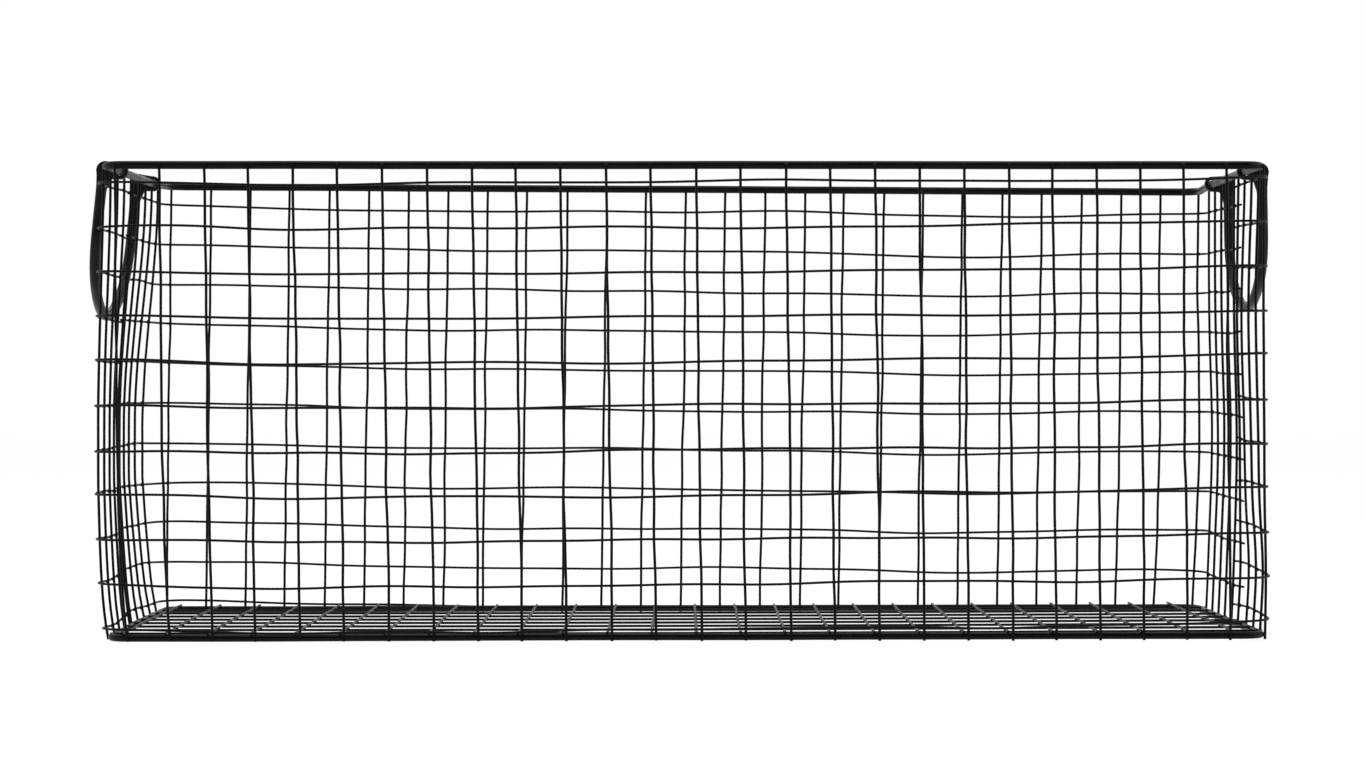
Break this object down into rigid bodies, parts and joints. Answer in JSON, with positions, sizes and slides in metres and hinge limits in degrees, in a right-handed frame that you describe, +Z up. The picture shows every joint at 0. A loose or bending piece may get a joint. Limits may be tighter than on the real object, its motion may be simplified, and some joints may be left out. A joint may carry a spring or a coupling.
{
  "type": "wire storage basket",
  "caption": "Rectangular wire mesh locker basket with a rod rim, bent mesh walls, a mesh floor and a swinging bail handle at each end.",
  "frame": {"origin": "on the surface the basket stands on, under the middle of the basket", "axes": "+X along the width, to the right when facing the front; +Y from the front to the back; +Z up"},
  "size_m": [0.698, 0.2636, 0.2783],
  "materials": {
    "rod": "near-black satin paint on steel rod",
    "mesh_wire": "near-black satin paint on thin steel wire",
    "handle_bar": "near-black satin paint on bent steel bar"
  },
  "bodies": {
    "basket": {"top_rim_rods": "rod", "top_rim_corners": "rod", "bottom_rim_rods": "rod", "bottom_rim_corners": "rod", "front_uprights": "mesh_wire", "back_uprights": "mesh_wire", "left_front_uprights": "mesh_wire", "right_front_uprights": "mesh_wire", "left_back_uprights": "mesh_wire", "right_back_uprights": "mesh_wire", "front_hoop_01": "mesh_wire", "front_hoop_02": "mesh_wire", "front_hoop_03": "mesh_wire", "front_hoop_04": "mesh_wire", "front_hoop_05": "mesh_wire", "front_hoop_06": "mesh_wire", "front_hoop_07": "mesh_wire", "front_hoop_08": "mesh_wire", "front_hoop_09": "mesh_wire", "front_hoop_10": "mesh_wire", "front_hoop_11": "mesh_wire", "back_hoop_01": "mesh_wire", "back_hoop_02": "mesh_wire", "back_hoop_03": "mesh_wire", "back_hoop_04": "mesh_wire", "back_hoop_05": "mesh_wire", "back_hoop_06": "mesh_wire", "back_hoop_07": "mesh_wire", "back_hoop_08": "mesh_wire", "back_hoop_09": "mesh_wire", "back_hoop_10": "mesh_wire", "floor_long_wires": "mesh_wire", "floor_cross_wires": "mesh_wire"},
    "left_handle": {"left_handle": "handle_bar"},
    "right_handle": {"right_handle": "handle_bar"}
  },
  "joints": [
    {"name": "left_handle_swing", "type": "hinge", "parent": "basket", "child": "left_handle", "pos_m": [-0.3307, -0.0019, 0.2721], "axis": [0, 1, 0], "range_deg": [-2, 240]},
    {"name": "right_handle_swing", "type": "hinge", "parent": "basket", "child": "right_handle", "pos_m": [0.3307, 0.0019, 0.2721], "axis": [0, -1, 0], "range_deg": [-2, 245]}
  ]
}
